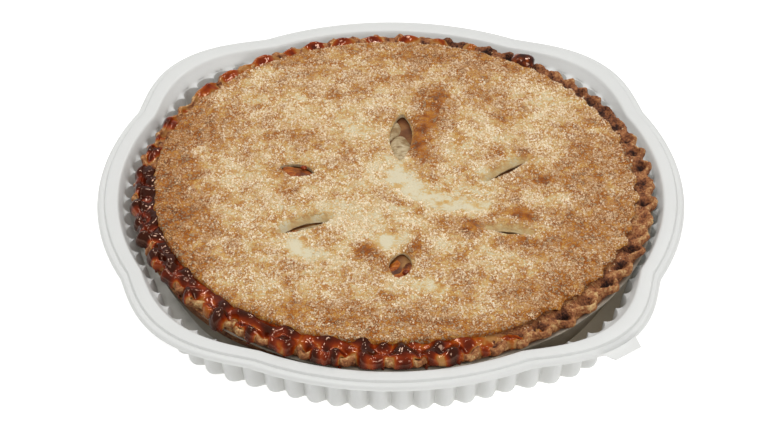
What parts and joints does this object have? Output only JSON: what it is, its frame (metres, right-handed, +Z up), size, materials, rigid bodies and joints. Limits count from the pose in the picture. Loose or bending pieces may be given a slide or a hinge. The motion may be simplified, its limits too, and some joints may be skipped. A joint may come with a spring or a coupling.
{
  "type": "apple pie",
  "caption": "Round double-crust apple pie with slits and a ruffled rim, in a foil tin set in a white fluted plastic tray with lobed corners.",
  "frame": {"origin": "on the table, under the middle of the tray's base", "axes": "+Z up out of the tray; -Y towards the viewer; +X to the viewer's right; the thumb tab is at the lobe between +X and -Y"},
  "size_m": [0.3422, 0.3422, 0.0507],
  "materials": {
    "tray_plastic": "thin white formed plastic sheet, slightly translucent, satin",
    "tin_foil": "thin pressed foil, soft sheen, faint wrinkles",
    "rim_crust": "dark-baked short crust, matt, crumbly",
    "apple_filling": "cooked apple in amber syrup, wet gloss",
    "top_crust": "golden baked crust, matt, dusted with coarse sugar",
    "syrup": "set dark red-brown fruit syrup, sticky high gloss",
    "dark_syrup": "nearly black set syrup drop, high gloss"
  },
  "bodies": {
    "root": {"tray": "tray_plastic", "tin": "tin_foil", "bottom_crust": "rim_crust", "filling": "apple_filling", "top_crust": "top_crust", "syrup_ring": "syrup", "syrup_bead": "dark_syrup"}
  },
  "joints": []
}
